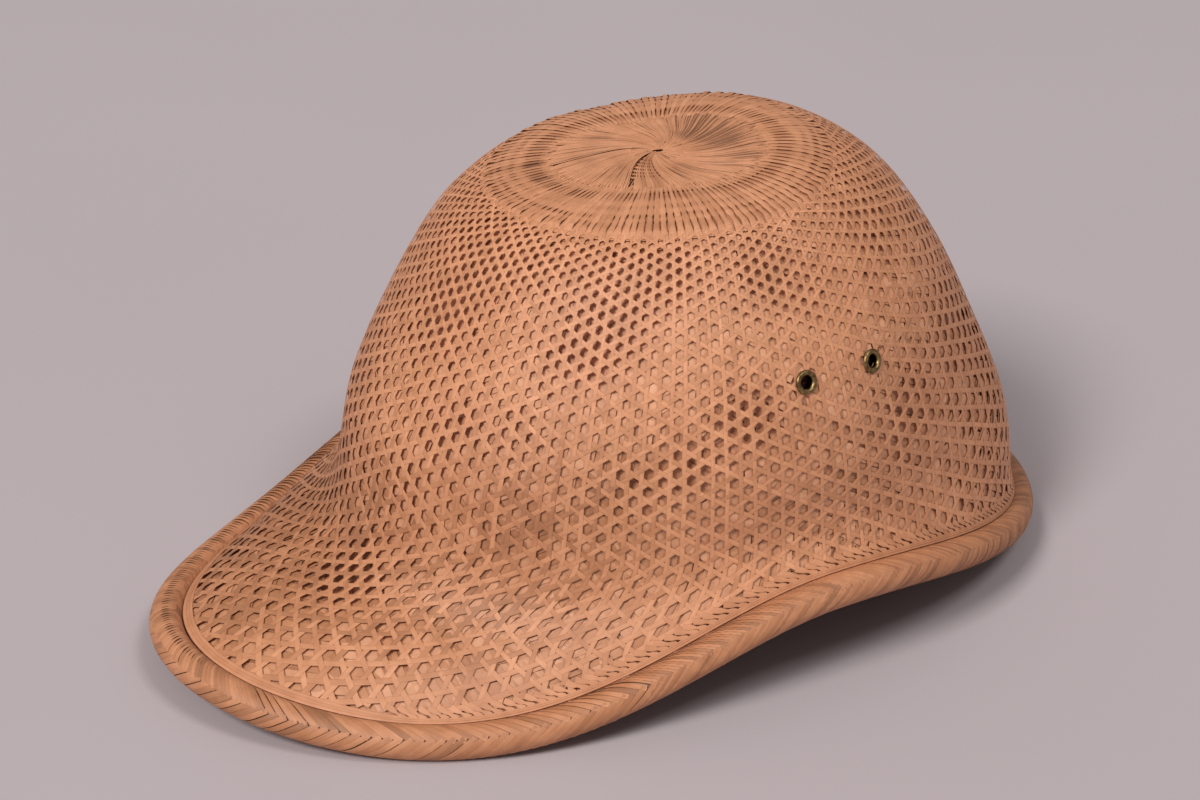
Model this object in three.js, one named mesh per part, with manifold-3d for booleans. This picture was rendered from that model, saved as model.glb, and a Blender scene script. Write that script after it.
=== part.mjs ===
// Woven straw cap: two layers of open straw weave, a front peak, a rolled braided edge
// and two brass vent eyelets on each side.
// Millimetres. +Z is up, the peak points to -Y, and the wearer's left side is +X.
// The origin is the bottom centre of the cap as it rests on its edge.
import * as THREE from "three";
import { mergeVertices } from "three/addons/utils/BufferGeometryUtils.js";
import Module from "manifold-3d";

const PLY = 1.0; // thickness of one woven layer
const GAP = 0.3; // clearance between neighbouring pieces
const TOP_Z = 129.2; // height of the middle of the top above the edge's datum

// Rings of the outer face from the top to the middle of the edge roll.
// Each ring is two half ellipses that share a half width. Its height goes from front_z or
// back_z to side_z, and arch lifts the middle of the peak.
const RING_COLUMNS = [
  "half_width", "front_reach", "back_reach", "front_z", "side_z", "back_z", "arch",
];
const RINGS = {
  top_middle: [14.0, 15.0, 14.0, 127.6, 128.6, 130.6, 0.0],
  top_disc: [44.5, 47.7, 43.7, 122.2, 125.5, 132.0, 0.0],
  shoulder: [60.0, 60.5, 66.2, 113.6, 112.2, 120.5, 0.0],
  upper_wall: [72.5, 73.8, 85.5, 93.0, 94.5, 95.8, 0.0],
  middle_wall: [80.2, 90.2, 101.0, 64.9, 64.5, 64.5, 0.0],
  crown_base: [82.3, 101.7, 111.0, 28.5, 43.8, 38.5, 2.2],
  brim_middle: [85.9, 127.8, 115.5, 12.5, 36.7, 16.1, 9.0],
  edge_middle: [89.8, 153.9, 118.7, -3.1, 30.4, 5.4, 15.0],
};
const FRONT_RISE = 3.05; // how late the edge rises from the corners of the peak to the side
const BACK_RISE = 2.4; // how late it rises from the back to the side
const ARCH_POWER = 9; // how narrow the arch across the peak is

// Soft hollows (depth > 0) and swellings (depth < 0) that handling has left in the wall.
const DENTS = [
  { azimuth_deg: 55, from_top: 116, depth: 1.5, spread: 24 },
  { azimuth_deg: 92, from_top: 70, depth: 1.2, spread: 17 },
  { azimuth_deg: 94, from_top: 104, depth: -1.0, spread: 18 },
  { azimuth_deg: 150, from_top: 154, depth: -3.0, spread: 25 },
  { azimuth_deg: 210, from_top: 154, depth: -3.0, spread: 25 },
  { azimuth_deg: 250, from_top: 108, depth: 1.3, spread: 26 },
];

const STATIONS = 48; // facets round the cap
const WALL_STEPS = 21; // facets from the middle of the top to the edge

const ROLL_RADIUS = 5.0; // plump braided edge
const ROLL_SIDES = 10;
const CORD_HALF_WIDTH = 1.6; // flat laid cord inside the edge roll
const CORD_HALF_HEIGHT = 0.8;
const CORD_SIDES = 8;

const EYELET_HOLE_R = 1.9;
const EYELET_BARREL_R = 2.35;
const EYELET_FLANGE_R = 3.35;
const EYELET_WASHER_R = 3.1;
const EYELET_RISE = 1.05; // height of the rolled flange above the outer face
const EYELET_SIDES = 14;
const EYELETS = {
  eyelet_left_front: { azimuth_deg: 89, from_top: 93.5 },
  eyelet_left_back: { azimuth_deg: 107, from_top: 95.5 },
  eyelet_right_front: { azimuth_deg: 271, from_top: 93.5 },
  eyelet_right_back: { azimuth_deg: 253, from_top: 95.5 },
};

const STRAW = { color: 0xc08a5c, roughness: 0.7, metalness: 0.0 };
const STRAW_INSIDE = { color: 0xc99a6b, roughness: 0.75, metalness: 0.0 };
const BRASS = { color: 0x8a6f3c, roughness: 0.45, metalness: 1.0 };

const wasm = await Module();
wasm.setup();
const { Manifold, Mesh } = wasm;

const rings = Object.values(RINGS).map((row) => {
  return Object.fromEntries(RING_COLUMNS.map((column, i) => [column, row[i]]));
});

// Point of a ring at an azimuth: 0 is the front, a quarter turn is the wearer's left.
function ringPoint(ring, azimuth) {
  const c = Math.cos(azimuth);
  const s = Math.sin(azimuth);
  const front = c > 0;
  const reach = front ? ring.front_reach : ring.back_reach;
  const radius = 1 / Math.hypot(s / ring.half_width, c / reach);
  const lift = Math.abs(s) ** (front ? FRONT_RISE : BACK_RISE);
  const end = front ? ring.front_z : ring.back_z;
  const arch = ring.arch * Math.max(c, 0) ** ARCH_POWER;
  const z = end * (1 - lift) + ring.side_z * lift + arch;
  return new THREE.Vector3(radius * s, -radius * c, z);
}

// Curve down the outer face from the middle of the top to the middle of the edge roll.
function meridian(azimuth) {
  const points = [new THREE.Vector3(0, 0, TOP_Z)];
  rings.forEach((ring) => points.push(ringPoint(ring, azimuth)));
  const curve = new THREE.CatmullRomCurve3(points, false, "centripetal");
  curve.arcLengthDivisions = 160;
  return curve;
}

function along(curve, fromTop) {
  return curve.getPointAt(THREE.MathUtils.clamp(fromTop / curve.getLength(), 0, 1));
}

// Undented point, outward normal and downward tangent of the outer face.
function frameAt(azimuth, fromTop) {
  const step = THREE.MathUtils.degToRad(0.5);
  const here = meridian(azimuth);
  const share = fromTop / here.getLength();
  const point = along(here, fromTop);
  const before = meridian(azimuth - step);
  const after = meridian(azimuth + step);
  const round = along(after, share * after.getLength());
  round.sub(along(before, share * before.getLength()));
  const down = along(here, fromTop + 0.5).sub(along(here, fromTop - 0.5)).normalize();
  const normal = new THREE.Vector3().crossVectors(down, round).normalize();
  return { point, normal, down };
}

const dents = DENTS.map((dent) => {
  const centre = frameAt(THREE.MathUtils.degToRad(dent.azimuth_deg), dent.from_top).point;
  return { ...dent, centre };
});

// Frame of the finished outer face, with the soft hollows in it.
function wallFrame(azimuth, fromTop) {
  const frame = frameAt(azimuth, fromTop);
  let push = 0;
  dents.forEach((dent) => {
    push -= dent.depth * Math.exp(-((frame.point.distanceTo(dent.centre) / dent.spread) ** 2));
  });
  frame.point.addScaledVector(frame.normal, push);
  return frame;
}

function azimuthOf(station) {
  return ((station + 0.5) * 2 * Math.PI) / STATIONS;
}

function indexed(positions, faces) {
  const geometry = new THREE.BufferGeometry();
  geometry.setAttribute("position", new THREE.Float32BufferAttribute(positions.flat(), 3));
  geometry.setIndex(faces.flat());
  return geometry;
}

// Direction in which the middle of the edge roll runs at an azimuth.
function edgeRun(azimuth) {
  const edge = rings[rings.length - 1];
  const step = THREE.MathUtils.degToRad(0.5);
  return ringPoint(edge, azimuth + step).sub(ringPoint(edge, azimuth - step)).normalize();
}

// Distance from the top, down the outer face, that stays a given distance off the roll's middle.
function endOfWall(azimuth, clear) {
  const length = meridian(azimuth).getLength();
  const { down } = frameAt(azimuth, length - 1);
  return length - clear / down.cross(edgeRun(azimuth)).length();
}

// One closed layer of the wall between two depths below the outer face.
function layer(outerDepth, innerDepth) {
  const clear = ROLL_RADIUS + GAP;
  const endClear = Math.sqrt(clear * clear - outerDepth * outerDepth);
  const ends = Array.from({ length: STATIONS }, (_, k) => endOfWall(azimuthOf(k), endClear));
  const positions = [];
  const faces = [];
  [outerDepth, innerDepth].forEach((depth) => {
    positions.push([0, 0, TOP_Z - depth]);
    for (let row = 1; row <= WALL_STEPS; row += 1) {
      for (let k = 0; k < STATIONS; k += 1) {
        const azimuth = azimuthOf(k);
        const frame = wallFrame(azimuth, (ends[k] * row) / WALL_STEPS);
        frame.point.addScaledVector(frame.normal, -depth);
        positions.push(frame.point.toArray());
      }
    }
  });
  const sheet = 1 + WALL_STEPS * STATIONS;
  const at = (side, row, k) => side * sheet + 1 + (row - 1) * STATIONS + (k % STATIONS);
  for (let k = 0; k < STATIONS; k += 1) {
    faces.push([0, at(0, 1, k), at(0, 1, k + 1)]);
    faces.push([sheet, at(1, 1, k + 1), at(1, 1, k)]);
    for (let row = 1; row < WALL_STEPS; row += 1) {
      faces.push([at(0, row, k), at(0, row + 1, k), at(0, row + 1, k + 1)]);
      faces.push([at(0, row, k), at(0, row + 1, k + 1), at(0, row, k + 1)]);
      faces.push([at(1, row, k), at(1, row + 1, k + 1), at(1, row + 1, k)]);
      faces.push([at(1, row, k), at(1, row, k + 1), at(1, row + 1, k + 1)]);
    }
    faces.push([at(0, WALL_STEPS, k), at(1, WALL_STEPS, k), at(1, WALL_STEPS, k + 1)]);
    faces.push([at(0, WALL_STEPS, k), at(1, WALL_STEPS, k + 1), at(0, WALL_STEPS, k + 1)]);
  }
  return indexed(positions, faces);
}

// Closed ring swept round the cap: section(k) gives the corners of the section at station k.
function sweptRing(section) {
  const sections = [];
  for (let k = 0; k < STATIONS; k += 1) {
    sections.push(section(azimuthOf(k)));
  }
  const sides = sections[0].length;
  const faces = [];
  for (let k = 0; k < STATIONS; k += 1) {
    const next = (k + 1) % STATIONS;
    for (let i = 0; i < sides; i += 1) {
      const j = (i + 1) % sides;
      faces.push([k * sides + i, next * sides + i, next * sides + j]);
      faces.push([k * sides + i, next * sides + j, k * sides + j]);
    }
  }
  return indexed(sections.flat(), faces);
}

// Upright section of the edge roll, with a flat side underneath.
function rollSection(azimuth) {
  const centre = ringPoint(rings[rings.length - 1], azimuth);
  const run = edgeRun(azimuth);
  const out = new THREE.Vector3(run.y, -run.x, 0).normalize();
  const corners = [];
  for (let i = 0; i < ROLL_SIDES; i += 1) {
    const turn = ((i + 0.5) * 2 * Math.PI) / ROLL_SIDES - Math.PI / 2;
    const corner = centre.clone().addScaledVector(out, ROLL_RADIUS * Math.cos(turn));
    corner.z += ROLL_RADIUS * Math.sin(turn);
    corners.push(corner.toArray());
  }
  return corners;
}

// Section of the flat cord that lies on the wall just inside the edge roll.
function cordSection(azimuth) {
  const inset = ROLL_RADIUS + 1.5 * GAP + CORD_HALF_WIDTH;
  const frame = wallFrame(azimuth, endOfWall(azimuth, inset));
  const middle = frame.point.addScaledVector(frame.normal, GAP + CORD_HALF_HEIGHT);
  const corners = [];
  for (let i = 0; i < CORD_SIDES; i += 1) {
    const turn = ((i + 0.5) * 2 * Math.PI) / CORD_SIDES;
    const corner = middle.clone().addScaledVector(frame.down, CORD_HALF_WIDTH * Math.cos(turn));
    corner.addScaledVector(frame.normal, CORD_HALF_HEIGHT * Math.sin(turn));
    corners.push(corner.toArray());
  }
  return corners;
}

// Stands a part that was turned about the Y axis on the wall, with +Y along the normal.
function seat(geometry, place) {
  const frame = wallFrame(THREE.MathUtils.degToRad(place.azimuth_deg), place.from_top);
  const turn = new THREE.Quaternion();
  turn.setFromUnitVectors(new THREE.Vector3(0, 1, 0), frame.normal);
  geometry.applyQuaternion(turn);
  geometry.translate(frame.point.x, frame.point.y, frame.point.z);
  return geometry;
}

// Eyelet: rolled flange outside, barrel through both layers, spread washer inside.
function eyelet(place) {
  const inside = -(2 * PLY + 3 * GAP);
  const middle = (EYELET_HOLE_R + EYELET_FLANGE_R) / 2;
  const profile = [
    [EYELET_HOLE_R, inside - 0.6],
    [EYELET_WASHER_R - 0.3, inside - 0.6],
    [EYELET_WASHER_R, inside],
    [EYELET_BARREL_R, inside],
    [EYELET_BARREL_R, GAP],
    [EYELET_FLANGE_R, GAP],
    [EYELET_FLANGE_R - 0.1, 0.6 * EYELET_RISE],
    [middle + 0.3, EYELET_RISE],
    [middle - 0.3, EYELET_RISE],
    [EYELET_HOLE_R, 0.5 * EYELET_RISE],
    [EYELET_HOLE_R, inside - 0.6],
  ];
  const points = profile.map(([radius, height]) => new THREE.Vector2(radius, height));
  return seat(new THREE.LatheGeometry(points, EYELET_SIDES), place);
}

function toManifold(geometry) {
  const plain = new THREE.BufferGeometry();
  plain.setAttribute("position", geometry.getAttribute("position").clone());
  plain.setIndex(geometry.getIndex());
  const merged = mergeVertices(plain, 1e-4);
  const vertProperties = new Float32Array(merged.getAttribute("position").array);
  const triVerts = new Uint32Array(merged.getIndex().array);
  const mesh = new Mesh({ numProp: 3, vertProperties, triVerts });
  mesh.merge();
  return new Manifold(mesh);
}

function fromManifold(solid) {
  const mesh = solid.getMesh();
  const geometry = new THREE.BufferGeometry();
  geometry.setAttribute("position", new THREE.BufferAttribute(mesh.vertProperties, 3));
  geometry.setIndex(new THREE.BufferAttribute(mesh.triVerts, 1));
  return geometry;
}

// Round holes through a layer for the eyelets' barrels.
function punched(geometry) {
  let solid = toManifold(geometry);
  const radius = (EYELET_BARREL_R + GAP) / Math.cos(Math.PI / EYELET_SIDES);
  Object.values(EYELETS).forEach((place) => {
    const drill = new THREE.CylinderGeometry(radius, radius, 8 * PLY, EYELET_SIDES);
    solid = solid.subtract(toManifold(seat(drill, place)));
  });
  return fromManifold(solid);
}

const pieces = [
  ["crown_weave", punched(layer(0, PLY)), STRAW],
  ["lining_weave", punched(layer(PLY + GAP, 2 * PLY + GAP)), STRAW_INSIDE],
  ["edge_cord", sweptRing(cordSection), STRAW],
  ["edge_braid", sweptRing(rollSection), STRAW],
];
Object.entries(EYELETS).forEach(([name, place]) => {
  pieces.push([name, eyelet(place), BRASS]);
});

// The cap rests on the floor, centred over the origin.
const braid = pieces.find(([name]) => name === "edge_braid")[1];
braid.computeBoundingBox();
const box = braid.boundingBox;
const shift = new THREE.Vector3(0, -(box.min.y + box.max.y) / 2, -box.min.z);

const cap = new THREE.Group();
pieces.forEach(([name, geometry, look]) => {
  geometry.translate(shift.x, shift.y, shift.z);
  geometry.computeVertexNormals();
  const mesh = new THREE.Mesh(geometry, new THREE.MeshStandardMaterial(look));
  mesh.name = name;
  cap.add(mesh);
});

export default cap;
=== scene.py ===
"""Woven straw cap: two layers of open six-cornered straw weave, a gathered top of radial straws,
a laid cord and a herringbone braid round the edge, and brass vent eyelets.

The form is worked out in millimetres, with the peak at -Y and the wearer's left at +X.
"""
import functools
import math
from types import SimpleNamespace

import bpy
import numpy as np
from mathutils import Matrix, Vector


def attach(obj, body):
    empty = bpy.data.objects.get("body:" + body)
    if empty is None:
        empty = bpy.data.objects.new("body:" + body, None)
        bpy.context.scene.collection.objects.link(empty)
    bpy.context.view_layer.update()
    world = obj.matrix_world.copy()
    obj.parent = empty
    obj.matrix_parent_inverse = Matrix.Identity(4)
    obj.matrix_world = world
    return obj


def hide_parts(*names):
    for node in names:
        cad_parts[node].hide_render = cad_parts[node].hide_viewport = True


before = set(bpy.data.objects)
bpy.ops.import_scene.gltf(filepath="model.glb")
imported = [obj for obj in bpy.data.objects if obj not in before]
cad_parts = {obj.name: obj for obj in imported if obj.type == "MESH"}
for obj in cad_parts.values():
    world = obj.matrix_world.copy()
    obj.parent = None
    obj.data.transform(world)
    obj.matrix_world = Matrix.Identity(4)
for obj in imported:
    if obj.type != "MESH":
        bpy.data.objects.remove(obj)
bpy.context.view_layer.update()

bl_info = {
    "name": "Woven Straw Cap",
    "version": (1, 0, 0),
    "blender": (4, 5, 0),
    "location": "3D View > Sidebar > Straw Cap",
    "description": "Builds a woven straw cap straw by straw round its packed frame",
    "category": "Add Mesh",
}

MM = 0.001  # metres in a millimetre
TURN = 2 * math.pi

# Rings of the outer face from the top to the middle of the edge roll, as in the part's source:
# half_width, front_reach, back_reach, front_z, side_z, back_z, arch.
RINGS = {
    "top_middle": (14.0, 15.0, 14.0, 127.6, 128.6, 130.6, 0.0),
    "top_disc": (44.5, 47.7, 43.7, 122.2, 125.5, 132.0, 0.0),
    "shoulder": (60.0, 60.5, 66.2, 113.6, 112.2, 120.5, 0.0),
    "upper_wall": (72.5, 73.8, 85.5, 93.0, 94.5, 95.8, 0.0),
    "middle_wall": (80.2, 90.2, 101.0, 64.9, 64.5, 64.5, 0.0),
    "crown_base": (82.3, 101.7, 111.0, 28.5, 43.8, 38.5, 2.2),
    "brim_middle": (85.9, 127.8, 115.5, 12.5, 36.7, 16.1, 9.0),
    "edge_middle": (89.8, 153.9, 118.7, -3.1, 30.4, 5.4, 15.0),
}
TOP_Z = 129.2
FRONT_RISE = 3.05
BACK_RISE = 2.4
ARCH_POWER = 9
ROLL_RADIUS = 5.0
ROLL_SIDES = 10
STATIONS = 48

# Soft hollows (depth > 0) and swellings: azimuth_deg, from_top, depth, spread.
DENTS = (
    (55, 116, 1.5, 24),
    (92, 70, 1.2, 17),
    (94, 104, -1.0, 18),
    (150, 154, -3.0, 25),
    (210, 154, -3.0, 25),
    (250, 108, 1.3, 26),
)

# Places of the eyelets: azimuth_deg, from_top.
EYELETS = {
    "eyelet_left_front": (89, 93.5),
    "eyelet_left_back": (107, 95.5),
    "eyelet_right_front": (271, 93.5),
    "eyelet_right_back": (253, 95.5),
}
EYELET_CLEAR = 2.75  # straws end this far from an eyelet's axis, under its flange

# Places where the straw is darker, or lighter where the tone is negative: real stains, painted shade on the
# peak and in the dents' hollows, and a painted highlight on the front of the wall: azimuth_deg, from_top,
# spread, depth of tone.
STAINS_AND_PAINTED_SHADE = (
    (50, 93, 16, -0.18),
    (47, 119, 17, 0.30),
    (33, 128, 12, 0.20),
    (100, 126, 16, 0.15),
    (128, 60, 16, 0.15),
    (255, 112, 18, 0.30),
    (36, 160, 46, 0.24),
    (4, 166, 46, 0.24),
    (336, 172, 50, 0.50),
    (0, 192, 24, 0.31),
)
NET_TINT = (0.42, 1.0)  # tones of the net before the stains and painted shade
DARKEST = 0.14  # the darkest tone that stains and painted shade can give the net

# How the weave lies on the form.
DISC_EDGE = 49.0  # distance from the top at which the open weave starts
SLENDERNESS = 0.93  # rows of holes in a meridian's length, against a regular net
CROWDING = 0.055  # straws crowd towards the front and the back and spread at the sides
CROWDING_FROM = math.radians(22)
LEAN = 0.04  # steady drift of the upright straws as they come down
GATHERED = (math.radians(-10), math.radians(45), 0.23)  # closer net of the peak: azimuth, spread, share
GATHERED_FROM = (138.0, 26.0)  # distance from the top at which that starts, length on which it grows
SWAY = (math.radians(118), math.radians(30), 0.60, 0.34, 0.085)  # azimuth, spread, fall, spread, drift
WANDER = 0.10  # how far a straw strays to its sides
WANDER_TURN = 0.31  # turn of that straying from one sample to the next

# The lining is the same net turned a little, so that its holes meet the outer ones in patches.
MEETING_AZIMUTH = math.radians(51)
MEETING_FALL = 0.30
MEETING_ROWS = 0.56  # fall from one row of patches to the next
MEETINGS_ROUND = 8

OUTER_DEPTH = 0.08
LINING_DEPTH = 0.88
LINING_LIFT = 0.012
OUTER_CLEAR = 8.7  # how near the outer net comes to the middle of the roll
BAND_CLEAR = 7.2  # the same under the band at the front of the peak
LINING_CLEAR = 3.4

# Places where the lining stands off and is looser, so that the holes look dark, or lies closer
# where the depth is negative: azimuth_deg, from_top, spread, depth.
STAND_OFFS = (
    (350, 62, 15, 0.4),
    (8, 66, 13, 1.2),
    (2, 86, 11, 1.4),
    (24, 60, 9, 0.9),
    (47, 62, 13, 2.0),
    (62, 58, 9, 1.2),
    (45, 79, 9, 1.9),
    (36, 85, 8, 1.2),
    (88, 62, 11, 1.3),
    (99, 72, 8, 0.8),
    (127, 66, 15, 0.7),
    (76, 101, 8, 2.4),
    (64, 114, 8, 1.7),
    (53, 117, 8, 1.3),
    (16, 112, 10, 1.5),
    (30, 107, 8, 1.0),
    (10, 130, 9, 0.8),
    (116, 116, 10, 1.1),
    (138, 110, 15, 0.6),
    (3, 163, 10, 2.4),
    (20, 176, 8, 0.7),
    (160, 90, 16, 1.4),
    (185, 70, 14, 1.6),
    (205, 112, 12, 1.8),
    (232, 75, 14, 1.5),
    (264, 112, 11, 1.6),
    (284, 70, 12, 1.9),
    (300, 104, 10, 1.4),
    (322, 80, 13, 1.5),
    (335, 120, 10, 1.0),
    (326, 76, 20, -0.35),
    (128, 92, 44, -0.42),
)
# Ripples of the lining: depth, then for each wave its turn per millimetre across and down, its start.
RIPPLES = (
    (0.10, ((0.46, 0.21, 0.0), (-0.19, 0.57, 1.0), (0.31, -0.37, 2.0))),
    (0.25, ((0.93, 0.41, 0.0), (-0.52, 0.87, 0.7))),
)
RIPPLE_RADIUS = 78.0  # millimetres across are counted along a circle of this radius
RIM_FOLD = (7.5, 2.2, 0.8)  # the lining dips beside the roll: inset, spread, depth
LOOSE = (1.2, 1.6)  # depth from which the lining is looser, and depth on which it grows looser

# Gathered top, in locks of straws: azimuth_deg at which a lock starts, rise of its far side,
# share of dark straws.
LOCKS = (
    (37, 0.0, 0.1),
    (66, 0.06, 0.20),
    (112, 0.12, 0.30),
    (150, 0.12, 0.35),
    (172, 0.10, 0.30),
    (200, 0.14, 0.35),
    (232, 0.10, 0.20),
    (268, 0.08, 0.12),
    (304, 0.10, 0.14),
    (335, 0.40, 0.14),
)
SUNKEN_LOCK = 0
# Brown streaks of the top: azimuth_deg, from_top, spread, depth of tone.
STREAKS = (
    (190, 22, 9, 0.50),
    (159, 20, 8, 0.45),
    (186, 13, 5, 0.50),
    (132, 26, 8, 0.40),
    (83, 15, 5, 0.55),
    (328, 21, 6, 0.35),
    (296, 19, 6, 0.35),
    (9, 15, 4, 0.30),
    (215, 26, 7, 0.45),
)
# Brown places of the straws that pass the rings of slits, in the same way.
RING_STREAKS = (
    (335, 35, 15, 0.25),
    (10, 33, 12, 0.12),
    (150, 36, 16, 0.20),
    (200, 40, 14, 0.22),
)
LOCK_START = 33.5  # distance from the top at which the fine straws start
LOCK_RIM = 32.0  # distance at which they start to swirl
# Rings of the top are drawn in on the near and far sides: distances from the top, and shares.
DRAWN_IN = ((0, 36, 46, 51), (0.24, 0.24, 0.13, 0.05))
DRAWN_FROM = math.radians(57.9)
SWIRL = 0.68  # turn of a fine straw on its way to the slit
SWIRL_POWER = 1.7
TOP_END = 51.0
FINE_STRAWS = 420
RAYS = 130  # radial straws that come in from the wall
SLIT = (1.6, 0.85)  # half length and half width of the slit in the middle
SLIT_AZIMUTH = math.radians(147.9)
# Rings of slits between the straws: distance from the top, spread, greatest share of the straws' spacing.
SLIT_ROWS = (
    (35.6, 2.9, 0.54),
    (41.6, 0.9, 0.24),
    (45.2, 0.9, 0.46),
    (48.0, 1.4, 0.44),
)
WEFTS = (32.4, 39.2, 43.2, 49.6)

# Rows of straws round the roll: middle in degrees, where outward is 0 and up is 90, half reach,
# run along the edge.
BRAID_ROWS = {
    "upper": (82, 48, 12.0),
    "outer": (-8, 50, -11.0),
    "under": (-98, 48, 11.0),
    "inner": (172, 48, -11.0),
}
COMB = (math.radians(-23), math.radians(32))  # the upper row opens like a comb: azimuth, spread
# The cord is a broad band at the front of the peak: azimuth, half reach, ease.
BAND = (math.radians(-12), math.radians(26), math.radians(16))

# Camera, fitted to the outline of the cap, in degrees and millimetres.
CAMERA_AZIMUTH = 57.9
CAMERA_ELEVATION = 27.4
CAMERA_DISTANCE = 857.0
CAMERA_SIDE = -16.2  # the picture's middle lies this far to the left of the crown's axis
CAMERA_HEIGHT = 50.0
PICTURE_WIDTH = 1200
FOCAL_PIXELS = 2922
SENSOR_WIDTH = 36.0

# Lights: name, azimuth_deg, elevation_deg, power. Their distance, size and aim are in metres.
LIGHTS = (("key", 22, 44, 1010.0), ("fill", 104, 59, 385.0))
LIGHT_DISTANCE = 12.0
LIGHT_SIZE = 3.2
LIGHT_AIM = 0.06  # height that the lights look at
LIGHT_COLOUR = (1.0, 0.985, 0.97)
WORLD_COLOUR = (1.0, 0.97, 0.98, 1.0)
WORLD_STRENGTH = 0.29

# Steps of the tables of the form, in degrees and millimetres, and of the fall.
AZIMUTH_STEP = 0.5
FROM_TOP_STEP = 0.5
FALL_STEP = 0.004
FALL_END = 2.4
BEYOND_EDGE = 8.0  # the tables go on past the edge by this length
WALL_STEP = 4.0  # length on which the slope of the wall at its edge is taken


def ring_points(ring, azimuth):
    """Points of one ring: azimuth 0 is the front, a quarter turn is the wearer's left."""
    half_width, front_reach, back_reach, front_z, side_z, back_z, arch = ring
    c, s = np.cos(azimuth), np.sin(azimuth)
    front = c > 0
    radius = 1 / np.hypot(s / half_width, c / np.where(front, front_reach, back_reach))
    lift = np.abs(s) ** np.where(front, FRONT_RISE, BACK_RISE)
    end = np.where(front, front_z, back_z)
    z = end * (1 - lift) + side_z * lift + arch * np.maximum(c, 0) ** ARCH_POWER
    return np.stack([radius * s, -radius * c, z], -1)


def smooth_through(points, steps):
    """Centripetal Catmull-Rom curves through points[k, curve, xyz]."""
    first, last = 2 * points[0] - points[1], 2 * points[-1] - points[-2]
    p = np.concatenate([[first], points, [last]])
    knot = np.sqrt(np.linalg.norm(np.diff(p, axis=0), axis=-1, keepdims=True))
    rows = []
    for i in range(1, len(p) - 2):
        t1 = knot[i - 1]
        t2 = t1 + knot[i]
        t3 = t2 + knot[i + 1]
        for k in range(steps):
            t = t1 + (t2 - t1) * k / steps
            a1 = p[i - 1] + (p[i] - p[i - 1]) * t / t1
            a2 = p[i] + (p[i + 1] - p[i]) * (t - t1) / (t2 - t1)
            a3 = p[i + 1] + (p[i + 2] - p[i + 1]) * (t - t2) / (t3 - t2)
            b1 = a1 + (a2 - a1) * t / t2
            b2 = a2 + (a3 - a2) * (t - t1) / (t3 - t1)
            rows.append(b1 + (b2 - b1) * (t - t1) / (t2 - t1))
    rows.append(p[-2])
    return np.array(rows)


def unit(vectors):
    return vectors / np.maximum(np.linalg.norm(vectors, axis=-1, keepdims=True), 1e-9)


def smoothstep(value):
    value = np.clip(value, 0, 1)
    return value * value * (3 - 2 * value)


def wrapped(angle):
    """The same angle, from minus half a turn to half a turn."""
    return (angle + math.pi) % TURN - math.pi


def bell(value, middle, spread, power=2):
    """1 at the middle, falling to 0 past the spread on both sides."""
    return np.exp(-(((value - middle) / spread) ** power))


def resting_shift():
    """Move from the crown's frame to the frame in which the cap rests, centred over the origin."""
    azimuth = (np.arange(STATIONS) + 0.5) * TURN / STATIONS
    centre, out = edge_line(azimuth)
    turn = (np.arange(ROLL_SIDES) + 0.5) * TURN / ROLL_SIDES - math.pi / 2
    y = centre[:, None, 1] + ROLL_RADIUS * out[:, None, 1] * np.cos(turn)
    z = centre[:, None, 2] + ROLL_RADIUS * np.sin(turn)
    return np.array([0, -(y.min() + y.max()) / 2, -z.min()])


def edge_run(azimuth):
    """Direction of the edge roll, with a length."""
    step = math.radians(0.5)
    edge = RINGS["edge_middle"]
    return ring_points(edge, azimuth + step) - ring_points(edge, azimuth - step)


def edge_line(azimuth):
    """Middle of the edge roll and the level direction that points out of it."""
    run = edge_run(azimuth)
    out = unit(np.stack([run[:, 1], -run[:, 0], 0 * run[:, 0]], -1))
    return ring_points(RINGS["edge_middle"], azimuth), out


@functools.lru_cache(maxsize=1)
def cap_form():
    """Tables of the outer face over azimuth and distance from the top, in millimetres."""
    azimuth = np.radians(np.arange(0, 360 + AZIMUTH_STEP, AZIMUTH_STEP))
    top = np.tile([0.0, 0.0, TOP_Z], (len(azimuth), 1))
    curves = smooth_through(np.array([top] + [ring_points(r, azimuth) for r in RINGS.values()]), 24)
    length = np.linalg.norm(np.diff(curves, axis=0), axis=-1)
    reach = np.vstack([np.zeros(len(azimuth)), np.cumsum(length, 0)])
    from_top = np.arange(0, reach[-1].max() + BEYOND_EDGE, FROM_TOP_STEP)
    point = np.empty((len(azimuth), len(from_top), 3))
    for k in range(len(azimuth)):
        for axis in range(3):
            point[k, :, axis] = np.interp(from_top, reach[:, k], curves[:, k, axis])
        past = np.maximum(from_top - reach[-1, k], 0)[:, None]
        point[k] += past * unit(curves[-1, k] - curves[-3, k])
    form = SimpleNamespace(azimuth=azimuth, from_top=from_top, edge=reach[-1])
    form.normal = face_normals(point)
    push = np.zeros(point.shape[:2])
    for azimuth_deg, distance, depth, spread in DENTS:
        centre = point[round(azimuth_deg / AZIMUTH_STEP), round(distance / FROM_TOP_STEP)]
        push -= depth * np.exp(-((np.linalg.norm(point - centre, axis=-1) / spread) ** 2))
    form.point = point + push[..., None] * form.normal + resting_shift()
    down = unit(np.gradient(point, axis=1))
    form.round = np.linalg.norm(np.cross(down, round_the_cap(point)), axis=-1)
    form.fall = fall_table(form)
    fall = np.arange(-0.2, FALL_END, FALL_STEP)
    form.fall_start = fall[0]
    form.from_top_at = np.array([np.interp(fall, row, from_top) for row in form.fall])
    return form


def round_the_cap(point):
    """Change of a point with azimuth, for tables whose last row repeats the first."""
    change = np.empty_like(point)
    change[1:-1] = point[2:] - point[:-2]
    change[0] = change[-1] = point[1] - point[-2]
    return change / (2 * math.radians(AZIMUTH_STEP))


def face_normals(point):
    down = np.gradient(point, axis=1)
    normal = unit(np.cross(down, round_the_cap(point)))
    normal[:, 0] = (0, 0, 1)
    return normal


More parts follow.
